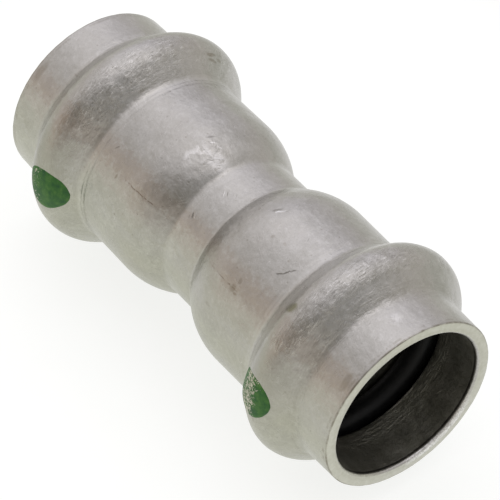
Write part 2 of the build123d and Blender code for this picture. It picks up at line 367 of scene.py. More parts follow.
# ---------------------------------------------------------------------------
# node helpers
# ---------------------------------------------------------------------------
class Tree:
    def __init__(self, tree):
        self.t = tree
        self.n = tree.nodes
        self.l = tree.links

    def link(self, value, socket):
        if hasattr(value, "links") or isinstance(value, bpy.types.NodeSocket):
            self.l.new(value, socket)
        else:
            socket.default_value = value

    def math(self, op, a, b=None, c=None, clamp=False):
        m = self.n.new("ShaderNodeMath")
        m.operation, m.use_clamp = op, clamp
        for i, v in enumerate((a, b, c)):
            if v is not None:
                self.link(v, m.inputs[i])
        return m.outputs[0]

    def vec(self, op, a, b=None, scale=None):
        m = self.n.new("ShaderNodeVectorMath")
        m.operation = op
        self.link(a, m.inputs[0])
        if b is not None:
            self.link(b, m.inputs[1])
        if scale is not None:
            self.link(scale, m.inputs["Scale"])
        return m.outputs["Value"] if op in ("LENGTH", "DOT_PRODUCT", "DISTANCE") else m.outputs[0]

    def xyz(self, x=0.0, y=0.0, z=0.0):
        m = self.n.new("ShaderNodeCombineXYZ")
        for i, v in enumerate((x, y, z)):
            self.link(v, m.inputs[i])
        return m.outputs[0]

    def split(self, v):
        m = self.n.new("ShaderNodeSeparateXYZ")
        self.link(v, m.inputs[0])
        return m.outputs[0], m.outputs[1], m.outputs[2]

    def noise(self, v, scale, detail=3.0, rough=0.5, distort=0.0, color=False):
        m = self.n.new("ShaderNodeTexNoise")
        self.link(v, m.inputs["Vector"])
        m.inputs["Scale"].default_value = scale
        m.inputs["Detail"].default_value = detail
        m.inputs["Roughness"].default_value = rough
        m.inputs["Distortion"].default_value = distort
        return m.outputs["Color"] if color else m.outputs["Fac"]

    def voronoi(self, v, scale, feature="F1", rand=1.0):
        m = self.n.new("ShaderNodeTexVoronoi")
        m.feature = feature
        self.link(v, m.inputs["Vector"])
        m.inputs["Scale"].default_value = scale
        m.inputs["Randomness"].default_value = rand
        return m.outputs["Distance"]

    def ramp(self, fac, stops, interp="LINEAR"):
        m = self.n.new("ShaderNodeValToRGB")
        m.color_ramp.interpolation = interp
        e = m.color_ramp.elements
        while len(e) > 1:
            e.remove(e[-1])
        first = True
        for pos, col in stops:
            col = (col, col, col, 1) if isinstance(col, (int, float)) else (*col, 1)
            if first:
                e[0].position, e[0].color, first = pos, col, False
            else:
                x = e.new(pos)
                x.color = col
        self.link(fac, m.inputs[0])
        return m.outputs["Color"]

    def step(self, v, lo, hi, out_lo=0.0, out_hi=1.0, kind="SMOOTHSTEP"):
        m = self.n.new("ShaderNodeMapRange")
        m.interpolation_type = kind
        m.clamp = True if kind == "LINEAR" else m.clamp
        for i, x in enumerate((v, lo, hi, out_lo, out_hi)):
            self.link(x, m.inputs[i])
        return m.outputs[0]

    def mix(self, fac, a, b, blend="MIX"):
        m = self.n.new("ShaderNodeMix")
        m.data_type, m.blend_type = "RGBA", blend
        self.link(fac, m.inputs[0])
        for v, s in ((a, m.inputs[6]), (b, m.inputs[7])):
            if isinstance(v, tuple):
                v = (*v, 1) if len(v) == 3 else v
            self.link(v, s)
        return m.outputs[2]

    def mapping(self, v, loc=(0, 0, 0), rot=(0, 0, 0), scale=(1, 1, 1), kind="TEXTURE"):
        m = self.n.new("ShaderNodeMapping")
        m.vector_type = kind
        self.link(v, m.inputs[0])
        m.inputs[1].default_value, m.inputs[2].default_value, m.inputs[3].default_value = loc, rot, scale
        return m.outputs[0]


def new_material(name):
    mat = bpy.data.materials.new(name)
    mat.use_nodes = True
    nodes = mat.node_tree.nodes
    nodes.clear()
    out = nodes.new("ShaderNodeOutputMaterial")
    shader = nodes.new("ShaderNodeBsdfPrincipled")
    mat.node_tree.links.new(shader.outputs[0], out.inputs[0])
    return mat, Tree(mat.node_tree), shader


def bands(T, x_mm, stops):
    """Value against x in mm, from (x, value) stops."""
    f = T.math("DIVIDE", T.math("ADD", x_mm, 36.0), 72.0)
    return T.ramp(f, [((x + 36.0) / 72.0, v) for x, v in stops])


def total(T, values):
    out = values[0]
    for v in values[1:]:
        out = T.math("ADD", out, v)
    return out


def most(T, values):
    out = values[0]
    for v in values[1:]:
        out = T.math("MAXIMUM", out, v)
    return out


# ---------------------------------------------------------------------------
# stainless steel, pickled and formed
# ---------------------------------------------------------------------------
def steel():
    mat, T, shader = new_material("stainless_formed")
    coord = T.n.new("ShaderNodeTexCoord").outputs["Object"]
    mm = T.vec("SCALE", coord, scale=1000.0)
    x, y, z = T.split(mm)
    radius = T.math("SQRT", T.math("ADD", T.math("MULTIPLY", y, y), T.math("MULTIPLY", z, z)))
    # angle from +Y towards +Z, -90..270, so that its jump lies underneath
    degrees = T.math("ADD", T.math("MULTIPLY", T.math("ARCTAN2", T.math("MULTIPLY", y, -1.0), z), 180 / math.pi), 90.0)
    ax = T.math("ABSOLUTE", x)
    # inside of the tube: nearer the axis than the skin anywhere outside the waist, or inside the waist bore
    wall_mid = bands(T, x, [(-36, 0.60), (-28.0, 0.60), (-26.4, 0.66), (-23.64, 0.775), (-20.9, 0.66), (-19.2, 0.602),
                            (-9.9, 0.602), (-6.0, 0.575), (-3.2, 0.495), (3.2, 0.495), (6.0, 0.575), (9.9, 0.602),
                            (19.2, 0.602), (20.9, 0.66), (23.64, 0.775), (26.4, 0.66), (28.0, 0.60), (36, 0.60)])
    inside = T.step(radius, T.math("SUBTRACT", T.math("MULTIPLY", wall_mid, 20.0), 0.15),
                    T.math("ADD", T.math("MULTIPLY", wall_mid, 20.0), 0.15), 1.0, 0.0)

    warp = T.vec("SUBTRACT", T.noise(mm, 0.9, 2.0, 0.5, color=True), (0.5, 0.5, 0.5))
    # flat coordinates on the skin: x and arc length from +Y (0.23 mm per degree on the body)
    flat = T.xyz(x, T.math("MULTIPLY", degrees, 0.23), 0.0)
    flat_w = T.vec("ADD", flat, T.vec("SCALE", warp, scale=0.55))

    def spot(cx, th, rx, ry, rot=0.0, soft=0.45, warped=True):
        v = T.mapping(flat_w if warped else flat, (cx, th * 0.23, 0), (0, 0, math.radians(rot)), (rx, ry, 1))
        return T.step(T.vec("LENGTH", v), 1.0, soft, 0.0, 1.0)

    # ---- shade and colour -------------------------------------------------
    broad = T.noise(mm, 0.085, 2.0, 0.5)
    cloudy = T.noise(mm, 0.42, 4.0, 0.60)
    mottle = T.noise(mm, 1.5, 4.0, 0.65)
    speck = T.noise(mm, 4.2, 2.0, 0.6)
    around = T.noise(T.vec("MULTIPLY", mm, (6.0, 0.25, 0.25)), 1.0, 3.0, 0.6)   # streaks that run round the tube

    def strokes(turn, seed, length, width, dense):
        """Many fine straight marks that lie in one direction, in patches."""
        v = T.mapping(flat, (seed, seed * 1.7, 0), (0, 0, math.radians(turn)), (length, width, 1))
        return T.step(T.noise(v, 1.0, 1.0, 0.5), dense, dense + 0.07)

    rub = T.step(T.noise(mm, 0.30, 2.0), 0.44, 0.60)
    hair = T.math("MULTIPLY", T.math("ADD", strokes(24, 3.0, 2.2, 0.10, 0.63), strokes(-58, 11.0, 1.6, 0.09, 0.64)), rub)
    hair_b = T.math("MULTIPLY", strokes(71, 19.0, 1.3, 0.10, 0.63), T.math("SUBTRACT", 1.0, rub))

    base = T.ramp(cloudy, [(0.28, (0.372, 0.363, 0.338)), (0.50, (0.424, 0.415, 0.391)), (0.72, (0.472, 0.462, 0.440))])
    base = T.mix(T.step(mottle, 0.30, 0.70, 0.42, 0.0, "LINEAR"), base, (0.335, 0.325, 0.300))
    base = T.mix(T.step(mottle, 0.52, 0.80, 0.0, 0.45, "LINEAR"), base, (0.56, 0.552, 0.532))
    base = T.mix(T.step(speck, 0.50, 0.28, 0.0, 0.34, "LINEAR"), base, (0.27, 0.26, 0.235))
    base = T.mix(T.math("MULTIPLY", T.step(broad, 0.42, 0.62), 0.25), base, (0.405, 0.388, 0.352))
    base = T.mix(T.math("MULTIPLY", T.step(around, 0.55, 0.80), 0.20), base, (0.33, 0.32, 0.295))
    base = T.mix(T.math("MULTIPLY", T.math("ADD", hair, hair_b), 0.22), base, (0.62, 0.61, 0.60))
    # heat tint beside the lengthwise weld of the tube
    seam_d = T.math("ABSOLUTE", T.math("SUBTRACT", degrees, 135.0))
    tint = T.math("MULTIPLY", T.step(T.math("ADD", seam_d, T.math("MULTIPLY", T.math("SUBTRACT", mottle, 0.5), 22.0)), 9.0, 3.5), 0.34)
    base = T.mix(tint, base, (0.350, 0.300, 0.262))
    # the weld line itself, broken up along its length
    seam_wave = T.math("MULTIPLY", T.math("SUBTRACT", T.noise(T.xyz(x, 0.0, 3.3), 0.8, 2.0), 0.5), 1.4)
    seam_line = T.step(T.math("ABSOLUTE", T.math("ADD", T.math("SUBTRACT", degrees, 141.1), seam_wave)), 0.62, 0.12)
    seam_along = bands(T, x, [(-36, 0.05), (-12.4, 0.08), (-11.0, 0.75), (-9.4, 1.0), (-6.4, 0.9), (-5.4, 0.05),
                              (5.4, 0.05), (6.4, 0.35), (9.0, 0.6), (10.6, 1.0), (11.9, 0.8), (12.6, 0.05), (36, 0.05)])
    seam = T.math("MULTIPLY", T.math("MULTIPLY", seam_line, seam_along), T.step(T.noise(T.xyz(x, 9.0, 0.0), 2.6, 3.0), 0.40, 0.56, 0.10, 1.0))
    base = T.mix(T.math("MULTIPLY", seam, 0.72), base, (0.15, 0.105, 0.075))

    # stains and dark spots: x, angle, half sizes, turn, strength
    stains = [
        (-13.3, 143.4, 0.26, 0.50, 0, 0.50), (-28.2, 118.0, 0.85, 0.25, 0, 0.55),
        (-21.3, 47.0, 0.24, 1.15, 0, 0.60), (-20.7, 46.0, 0.22, 1.00, 6, 0.50), (-21.0, 40.5, 0.20, 0.55, 0, 0.40), (-19.4, 98.5, 0.30, 0.50, 0, 0.35),
        (11.6, 141.5, 0.62, 0.75, 20, 0.45), (12.0, 135.5, 0.35, 0.70, 0, 0.40), (12.4, 143.0, 0.55, 0.25, 0, 0.42),
        (33.9, 180.0, 0.25, 0.45, 0, 0.55), (34.0, 186.0, 0.18, 0.35, 0, 0.6), (-33.4, 131.0, 0.7, 2.2, 0, 0.38),
        (33.1, 134.0, 0.7, 1.9, 0, 0.42), (-11.1, 163.0, 0.22, 0.22, 0, 0.42), (-9.6, 158.0, 0.16, 0.40, 20, 0.20),
        (10.9, 105.0, 0.34, 0.30, 0, 0.30), (12.9, 103.3, 0.40, 0.30, 0, 0.28), (15.2, 109.0, 0.22, 0.20, 0, 0.30),
        (2.9, 92.5, 0.20, 0.9, 0, 0.42), (4.6, 86.0, 0.26, 0.3, 0, 0.35), (5.7, 98.0, 0.22, 0.35, 0, 0.32),
        (9.2, 160.5, 0.7, 0.35, 10, 0.24), (24.0, 183.5, 0.3, 0.5, 0, 0.30),
    ]
    for cx, th, rx, ry, rot, k in stains:
        base = T.mix(T.math("MULTIPLY", spot(cx, th, rx, ry, rot), k), base, (0.190, 0.160, 0.118))
    olive = spot(22.0, 124.6, 1.35, 0.80, -20)
    base = T.mix(T.math("MULTIPLY", olive, 0.74), base, (0.165, 0.160, 0.085))
    nicks = [(7.6, 92.8, 0.60, 0.20, -78, 0.6), (7.9, 90.4, 0.60, 0.20, -56, 0.6), (15.75, 117.0, 0.65, 0.13, -38, 0.8), (15.5, 118.2, 0.35, 0.16, -10, 0.6),
             (16.25, 114.2, 0.75, 0.13, -68, 0.8), (16.75, 110.8, 0.65, 0.11, -58, 0.65), (16.5, 112.3, 0.35, 0.12, -5, 0.5), (-1.5, 130.2, 0.75, 0.16, 70, 0.6),
             (-15.8, 130.9, 0.62, 0.13, -62, 0.6), (-9.4, 117.5, 0.32, 0.13, -30, 0.40), (-7.7, 87.5, 0.85, 0.24, -72, 0.50), (-7.1, 90.5, 0.45, 0.16, -20, 0.4),
             (-0.1, 103.0, 0.60, 0.12, 52, 0.45), (14.3, 92.0, 0.50, 0.10, 62, 0.35)]
    for cx, th, rx, ry, rot, k in nicks:
        base = T.mix(T.math("MULTIPLY", spot(cx, th, rx, ry, rot, 0.3, warped=False), k), base, (0.150, 0.140, 0.125))
    lights = [(8.35, 91.0, 0.85, 0.20, -58, 0.85), (8.05, 92.6, 0.45, 0.15, -76, 0.7), (-4.7, 91.5, 1.05, 0.12, -62, 0.75), (-4.2, 94.0, 0.85, 0.11, -66, 0.65), (-0.5, 104.5, 0.75, 0.11, 58, 0.6),
              (-5.0, 97.2, 0.60, 0.10, -56, 0.5), (-6.9, 89.0, 0.55, 0.14, -60, 0.55), (-5.9, 87.0, 0.45, 0.12, -40, 0.5), (-1.15, 129.2, 0.60, 0.10, 66, 0.6), (31.0, 90.0, 0.9, 0.11, 38, 0.30), (31.6, 89.0, 0.8, 0.11, 42, 0.28),
              (30.6, 91.0, 0.8, 0.10, -48, 0.28), (31.3, 91.5, 0.7, 0.10, -52, 0.25), (31.0, 88.5, 1.1, 0.75, 0, 0.28)]
    for cx, th, rx, ry, rot, k in lights:
        base = T.mix(T.math("MULTIPLY", spot(cx, th, rx, ry, rot, 0.3, warped=False), k), base, (0.74, 0.73, 0.72))
    # fine pits and specks all over, and a few larger ones
    specks = T.step(T.voronoi(mm, 0.95), 0.16, 0.07)
    some = T.step(T.noise(mm, 0.55, 1.0), 0.50, 0.60)
    base = T.mix(T.math("MULTIPLY", T.math("MULTIPLY", specks, some), 0.42), base, (0.20, 0.18, 0.145))
    # painted shade in the creases: bead roots, waist edges, clamp mark
    crease_shade = bands(T, ax, [(-36, 0), (0, 0), (2.4, 0.0), (2.9, 0.22), (3.4, 0.05), (3.8, 0.0), (17.55, 0.0), (17.76, 0.07),
                           (17.95, 0.0), (18.6, 0.0), (19.0, 0.34), (19.35, 0.16), (19.8, 0.0), (26.8, 0.0),
                           (27.6, 0.12), (28.2, 0.30), (28.6, 0.22), (29.2, 0.06), (29.6, 0.0), (36, 0)])
    crease_shade = T.math("MULTIPLY", crease_shade, T.math("MULTIPLY", T.step(around, 0.38, 0.62, 0.45, 1.25), T.step(T.noise(mm, 1.1, 3.0), 0.30, 0.62, 0.30, 1.0)))
    base = T.mix(crease_shade, base, (0.225, 0.212, 0.180))

    # painted highlight: a lighter base on the near lip, the dome shoulders and the beads' left flanks
    painted_sheen = bands(T, x, [(-36, 0.08), (-29.6, 0.03), (-28.9, 0.20), (-27.3, 0.24), (-26.2, 0.0), (-19.6, 0.0), (-18.6, 0.16), (-17.4, 0.10),
                         (-16.8, 0.0), (-3.4, 0.0), (-2.9, 0.12), (-2.0, 0.12), (-1.6, 0.05), (1.8, 0.05), (2.1, 0.10), (2.5, 0.0), (3.2, 0.24), (4.2, 0.03),
                         (6.4, 0.0), (17.0, 0.0), (18.9, 0.16), (19.4, 0.60), (21.2, 0.38), (22.2, 0.0), (27.6, 0.0), (28.6, 0.08), (29.8, 0.06),
                         (33.8, 0.06), (36, 0.05)])
    base = T.mix(T.math("MULTIPLY", painted_sheen, T.math("SUBTRACT", 1.0, inside)), base, (0.71, 0.70, 0.675))
    # painted highlight on the far dome: bright patches, crisp at their lower edges
    highlight_patch_edges = T.step(T.math("ADD", T.noise(mm, 0.75, 3.0, 0.6, 0.4), T.math("MULTIPLY", T.math("SUBTRACT", mottle, 0.5), 0.50)), 0.42, 0.55)
    for cx, th, rx, ry, rot, k in ((-6.2, 98.0, 1.7, 1.5, -20, 0.42), (-4.3, 93.0, 1.9, 1.9, 10, 0.42), (-7.0, 104.5, 0.9, 1.4, 0, 0.40)):
        base = T.mix(T.math("MULTIPLY", T.math("MULTIPLY", spot(cx, th, rx, ry, rot, 0.35), highlight_patch_edges), k), base, (0.700, 0.690, 0.680))
    # painted reflection of the cream floor: a faint olive tint along the lower side
    painted_floor_reflection = T.math("MULTIPLY", T.step(degrees, 152.0, 182.0), T.step(degrees, 258.0, 235.0))
    base = T.mix(T.math("MULTIPLY", painted_floor_reflection, T.step(cloudy, 0.2, 0.8, 0.85, 1.0)), base, T.mix(1.0, base, (0.965, 0.985, 0.855), "MULTIPLY"))

    # painted shade: darker low flanks of the beads
    painted_flank_shade = T.math("MULTIPLY", bands(T, ax, [(-36, 0), (19.8, 0.0), (20.8, 0.9), (22.0, 1.0), (25.6, 0.8), (27.2, 0.0), (36, 0)]),
                  T.math("MULTIPLY", T.step(degrees, 138.0, 150.0), T.step(degrees, 192.0, 166.0)))
    base = T.mix(T.math("MULTIPLY", painted_flank_shade, 0.50), base, (0.300, 0.292, 0.255))

    # worn, grainy skin of the beads; its dark and bright specks are kept to the upper, lit side, so they are partly
    # real grain and partly painted shade and painted glints
    bead_zone = bands(T, x, [(-36, 0), (-25.2, 0.0), (-24.0, 0.35), (-22.8, 0.9), (-20.9, 1.0), (-20.2, 0.45), (-19.3, 0.35), (-18.8, 0.0),
                             (21.0, 0.0), (22.6, 0.15), (23.3, 0.8), (24.4, 1.0), (25.8, 0.9), (26.4, 0.15), (27.2, 0.15),
                             (27.9, 0.50), (28.6, 0.35), (29.2, 0.0), (36, 0)])
    patchy = T.step(T.noise(mm, 0.33, 2.0), 0.34, 0.52, 0.40, 1.0)
    arc_n = T.math("ADD", degrees, T.math("MULTIPLY", T.math("SUBTRACT", cloudy, 0.5), 30.0))
    # the lit side of the beads, where the painted glints and painted shade stay
    lit_sector = T.math("MULTIPLY", T.step(arc_n, 52.0, 78.0, 0.25, 1.0), T.step(arc_n, 152.0, 126.0, 0.22, 1.0))
    grain_zone = T.math("MULTIPLY", T.math("MULTIPLY", T.math("MULTIPLY", bead_zone, patchy), lit_sector), T.math("SUBTRACT", 1.0, inside))
    streak_v = T.mapping(flat_w, (0, 0, 0), (0, 0, math.radians(-9)), (0.26, 1.05, 1.0))
    grit = T.noise(streak_v, 1.0, 4.0, 0.68, 0.25)
    base = T.mix(T.math("MULTIPLY", T.step(grit, 0.46, 0.36), T.math("MULTIPLY", grain_zone, 0.50)), base, (0.190, 0.180, 0.160))
    base = T.mix(T.math("MULTIPLY", T.step(grit, 0.55, 0.66), T.math("MULTIPLY", grain_zone, 0.55)), base, (0.72, 0.71, 0.69))
    # brown smears left on the far bead and, fainter, on the near one
    smear_noise = T.step(T.noise(T.vec("MULTIPLY", flat, (1.5, 0.55, 1.0)), 1.3, 4.0, 0.72), 0.42, 0.62)
    smears = T.math("ADD", T.math("MULTIPLY", spot(-22.8, 139.5, 2.2, 3.6, 0, 0.1), 0.60), T.math("MULTIPLY", spot(24.2, 140.0, 2.0, 3.0, 0, 0.1), 0.32))
    base = T.mix(T.math("MULTIPLY", smears, smear_noise), base, (0.275, 0.228, 0.185))

    # rim face and its edges
    rim = T.step(ax, HALF - 0.07, HALF - 0.02)
    base = T.mix(T.math("MULTIPLY", rim, 0.85), base, T.ramp(mottle, [(0.35, (0.555, 0.555, 0.480)), (0.65, (0.640, 0.640, 0.575))]))
    edge_noise = T.step(T.noise(mm, 0.42, 5.0, 0.72), 0.38, 0.60, 0.12, 1.0)
    outer_edge = T.math("MULTIPLY", T.step(radius, RIM_R - 0.22, RIM_R - 0.06), T.step(ax, HALF - 0.36, HALF - 0.08))
    base = T.mix(T.math("MULTIPLY", T.math("MULTIPLY", outer_edge, edge_noise), 0.68), base, (0.150, 0.128, 0.092))
    burr = T.math("MULTIPLY", T.step(T.math("ABSOLUTE", T.math("SUBTRACT", ax, HALF - 0.62)), 0.30, 0.05), T.step(edge_noise, 0.55, 1.0, 0.0, 0.35))
    base = T.mix(T.math("MULTIPLY", burr, T.math("SUBTRACT", 1.0, inside)), base, (0.22, 0.20, 0.165))
    # painted highlight: the rounded inner edge of the rim is a little lighter all round and much lighter on one side,
    # with a light band on the face beside it there, where these edges catch the light
    inner_round = T.math("MULTIPLY", T.step(radius, BORE_R + 0.44, BORE_R + 0.36), T.step(ax, HALF - 0.40, HALF - 0.30))
    lit_rim_side = T.math("MULTIPLY", T.step(degrees, -100.0, -75.0), T.step(degrees, -18.0, -48.0))
    base = T.mix(T.math("MULTIPLY", inner_round, T.math("MULTIPLY_ADD", lit_rim_side, 0.75, 0.15)), base, T.ramp(speck, [(0.38, (0.48, 0.475, 0.46)), (0.62, (0.82, 0.815, 0.80))]))
    rim_highlight_band = T.math("MULTIPLY", T.math("MULTIPLY", T.step(T.math("ADD", radius, T.math("MULTIPLY", T.math("SUBTRACT", mottle, 0.5), 0.5)), BORE_R + 0.98, BORE_R + 0.62), rim), T.math("MULTIPLY", lit_rim_side, T.step(x, 0.0, 1.0)))
    base = T.mix(T.math("MULTIPLY", rim_highlight_band, 0.90), base, T.ramp(T.noise(mm, 3.1, 3.0, 0.65), [(0.34, (0.46, 0.452, 0.43)), (0.52, (0.80, 0.795, 0.78)), (0.70, (0.92, 0.92, 0.91))]))
    lip_line = T.math("MULTIPLY", T.step(T.math("ABSOLUTE", T.math("SUBTRACT", ax, HALF - 0.62)), 0.22, 0.08), inside)
    # inside: matt, darker, never tumbled; deeper than 27 mm the bore is painted darker still, painted shade inside the
    # tube
    bore = T.ramp(T.noise(T.vec("MULTIPLY", mm, (0.3, 1, 1)), 0.5, 3.0), [(0.3, (0.400, 0.392, 0.335)), (0.7, (0.500, 0.490, 0.435))])
    bore = T.mix(T.math("MULTIPLY", T.step(T.noise(mm, 1.9, 3.0, 0.7), 0.56, 0.70), 0.55), bore, (0.24, 0.23, 0.185))
    # painted shade deep in the tube
    bore = T.mix(T.step(ax, 27.05, 26.75), bore, (0.12, 0.118, 0.10))
    base = T.mix(T.math("MULTIPLY", inside, T.math("SUBTRACT", 1.0, T.math("MAXIMUM", inner_round, rim))), base, bore)
    base = T.mix(T.math("MULTIPLY", lip_line, 0.85), base, (0.045, 0.040, 0.036))
    T.link(base, shader.inputs["Base Color"])
    shader.inputs["Metallic"].default_value = 1.0

    # rougher relief where the far dome was knocked
    knocked = T.math("ADD", spot(-6.4, 92.0, 2.6, 2.6, 0, 0.2), spot(24.4, 97.0, 1.6, 4.0, 0, 0.2))

    # ---- roughness ----------------------------------------------------------
    rough = T.step(cloudy, 0.25, 0.75, 0.285, 0.345, "LINEAR")
    rough = T.math("ADD", rough, T.math("MULTIPLY", grain_zone, -0.09))
    rough = T.math("ADD", rough, T.math("MULTIPLY", rim, 0.22))
    rough = T.math("ADD", rough, T.math("MULTIPLY", inside, 0.08))
    rough = T.math("ADD", rough, T.math("MULTIPLY", T.math("SUBTRACT", mottle, 0.5), 0.16))
    rough = T.math("ADD", rough, T.math("MULTIPLY", T.math("ADD", hair, hair_b), -0.06))
    rough = T.math("ADD", rough, T.math("MULTIPLY", crease_shade, 0.10), clamp=True)
    T.link(rough, shader.inputs["Roughness"])

    # ---- relief ---------------------------------------------------------------
    # heights in micrometres
    fine = T.math("MULTIPLY", speck, 11.0)
    mid = T.math("MULTIPLY", mottle, 34.0)
    lathe = T.math("MULTIPLY", around, 9.0)
    root = bands(T, ax, [(-36, 0), (18.2, 0), (19.0, 0.7), (20.0, 1.0), (20.9, 0.0), (26.3, 0.0), (27.2, 0.9), (28.6, 1.0), (29.4, 0.6), (30.1, 0.0), (36, 0)])
    wrinkle = T.noise(T.vec("MULTIPLY", mm, (3.1, 0.62, 0.62)), 1.0, 3.0, 0.62, 0.5)
    wrinkles = T.math("MULTIPLY", T.math("MULTIPLY", wrinkle, root), 105.0)
    grain = T.math("MULTIPLY", T.math("MULTIPLY", grit, grain_zone), 130.0)
    pitted = T.math("MULTIPLY", T.math("MULTIPLY", specks, some), -10.0)
    dents = T.math("ADD", T.math("MULTIPLY", T.noise(mm, 0.50, 2.0, 0.5), 130.0), T.math("MULTIPLY", T.math("MULTIPLY", T.noise(mm, 0.95, 3.0, 0.6, 0.5), knocked), 150.0))
    hairs = T.math("MULTIPLY", T.math("ADD", hair, hair_b), 3.5)
    rim_marks = T.math("MULTIPLY", T.math("MULTIPLY", T.noise(T.xyz(T.math("MULTIPLY", radius, 5.0), T.math("MULTIPLY", degrees, 0.12), 0.0), 1.0, 3.0, 0.6), rim), 14.0)
    seam_h = T.math("MULTIPLY", seam, -14.0)

    def scratch(cx, th, length, width, rot, depth):
        """Thin mark: length along its own x before turning."""
        return T.math("MULTIPLY", spot(cx, th, length / 2, width / 2, rot, 0.2, warped=False), depth)

    scratches = [
        # short bright pair on the far dome
        (-4.7, 91.5, 2.1, 0.20, -62, 34), (-4.2, 94.0, 1.6, 0.18, -66, 28), (-5.2, 97.0, 1.2, 0.18, -56, 22),
        # hooked mark beside the waist edge, and its short neighbours
        (-1.45, 130.0, 1.5, 0.24, 70, -40), (-1.1, 128.8, 1.3, 0.18, 66, 30), (-1.8, 132.0, 0.9, 0.18, 78, 24),
        (-0.5, 104.5, 1.5, 0.18, 58, 30), (-0.1, 103.2, 1.3, 0.16, 52, -24), (0.9, 99.0, 0.9, 0.16, 40, 20),
        # curved nick on the near dome
        (7.75, 92.6, 1.0, 0.30, -78, -46), (8.15, 90.2, 1.0, 0.30, -56, -46), (8.75, 88.5, 0.8, 0.24, -32, -34), (8.45, 91.4, 1.5, 0.26, -58, 40),
        # crack-like mark on the near body
        (15.75, 117.0, 1.2, 0.24, -38, -46), (16.25, 114.2, 1.3, 0.22, -68, -40), (16.75, 110.8, 1.1, 0.20, -58, -30), (16.35, 113.3, 0.8, 0.18, -15, 24),
        # crossed marks on the near lip
        (31.0, 90.0, 1.7, 0.18, 38, 26), (31.6, 89.0, 1.5, 0.17, 42, 24), (30.6, 91.0, 1.4, 0.17, -48, 22),
        (31.3, 91.5, 1.2, 0.16, -52, 20),
        # a few on the rest of the body, so that no side is bare
        (-12.0, 20.0, 2.6, 0.15, 15, -16), (12.5, -25.0, 2.2, 0.15, -25, -18), (-8.5, -60.0, 1.8, 0.16, 55, -20),
        (9.0, 240.0, 2.4, 0.15, 10, -16), (30.5, -40.0, 1.6, 0.15, 62, -18), (-31.0, 235.0, 1.8, 0.15, -40, -18),
        (-15.0, 215.0, 2.0, 0.15, -62, -18), (-10.6, 165.0, 1.3, 0.16, 80, 16), (-11.0, 163.0, 1.0, 0.16, 65, 14),
    ]
    cuts = total(T, [scratch(*s) for s in scratches])
    height = total(T, [fine, mid, lathe, wrinkles, grain, pitted, dents, hairs, rim_marks, seam_h, cuts])
    bump = T.n.new("ShaderNodeBump")
    bump.inputs["Strength"].default_value = 1.0
    bump.inputs["Distance"].default_value = 1e-6
    T.link(height, bump.inputs["Height"])
    T.l.new(bump.outputs[0], shader.inputs["Normal"])
    return mat


def rubber():
    mat, T, shader = new_material("black_moulded_rubber")
    coord = T.n.new("ShaderNodeTexCoord").outputs["Object"]
    mm = T.vec("SCALE", coord, scale=1000.0)
    bloom = T.noise(mm, 0.8, 3.0, 0.55)
    base = T.ramp(bloom, [(0.35, (0.0060, 0.0064, 0.0068)), (0.65, (0.0110, 0.0114, 0.0116))])
    dust = T.step(T.voronoi(mm, 2.2), 0.12, 0.05)
    base = T.mix(T.math("MULTIPLY", dust, 0.25), base, (0.06, 0.058, 0.052))
    T.link(base, shader.inputs["Base Color"])
    T.link(T.step(bloom, 0.3, 0.7, 0.42, 0.54, "LINEAR"), shader.inputs["Roughness"])
    shader.inputs["Specular IOR Level"].default_value = 0.24
    bump = T.n.new("ShaderNodeBump")
    bump.inputs["Strength"].default_value = 1.0
    bump.inputs["Distance"].default_value = 1e-6
    T.link(T.math("MULTIPLY", T.noise(mm, 6.0, 2.0), 3.0), bump.inputs["Height"])
    T.l.new(bump.outputs[0], shader.inputs["Normal"])
    return mat


def paint(name, seed, wear_side, wear_amount):
    """Thin green paint, worn through to bright metal along the bead's crest."""
    mat, T, shader = new_material(name)
    coord = T.n.new("ShaderNodeTexCoord").outputs["Object"]
    mm = T.vec("SCALE", coord, scale=1000.0)
    x, y, z = T.split(mm)
    degrees = T.math("MULTIPLY", T.math("ARCTAN2", z, y), 180 / math.pi)
    off = T.vec("ADD", mm, (seed * 7.1, seed * 3.3, 0.0))
    tone = T.noise(off, 0.9, 3.0, 0.6)
    base = T.ramp(tone, [(0.30, (0.016, 0.080, 0.022)), (0.52, (0.036, 0.128, 0.024)), (0.75, (0.078, 0.180, 0.040))])
    brush = T.noise(T.vec("MULTIPLY", off, (3.5, 0.8, 0.8)), 1.0, 3.0)
    base = T.mix(T.math("MULTIPLY", T.step(brush, 0.55, 0.75), 0.45), base, (0.080, 0.185, 0.045))
    # chips, most of them where the crest rubs
    crest = wear_side(T, x, degrees)
    chips = T.noise(off, 2.9, 4.0, 0.72, 0.9)
    level = T.math("SUBTRACT", 0.74, T.math("MULTIPLY", crest, wear_amount))
    bare = T.step(chips, level, T.math("ADD", level, 0.035))
    base = T.mix(bare, base, T.ramp(T.noise(off, 3.0, 2.0), [(0.3, (0.34, 0.33, 0.25)), (0.7, (0.62, 0.60, 0.49))]))
    T.link(base, shader.inputs["Base Color"])
    T.link(T.math("MULTIPLY", bare, 0.85), shader.inputs["Metallic"])
    T.link(T.math("SUBTRACT", T.math("ADD", 0.46, T.math("MULTIPLY", tone, 0.14)), T.math("MULTIPLY", bare, 0.12)), shader.inputs["Roughness"])
    shader.inputs["Specular IOR Level"].default_value = 0.22
    bump = T.n.new("ShaderNodeBump")
    bump.inputs["Strength"].default_value = 1.0
    bump.inputs["Distance"].default_value = 1e-6
    relief = T.math("ADD", T.math("MULTIPLY", T.noise(off, 2.6, 3.0), 10.0), T.math("MULTIPLY", bare, -22.0))
    T.link(relief, bump.inputs["Height"])
    T.l.new(bump.outputs[0], shader.inputs["Normal"])
    return mat


def wear_near(T, x, degrees):
    return T.step(T.math("ABSOLUTE", T.math("SUBTRACT", x, 22.5)), 2.9, 0.4)


def wear_far(T, x, degrees):
    return T.step(T.math("ABSOLUTE", T.math("ADD", x, 23.9)), 2.2, 0.3)


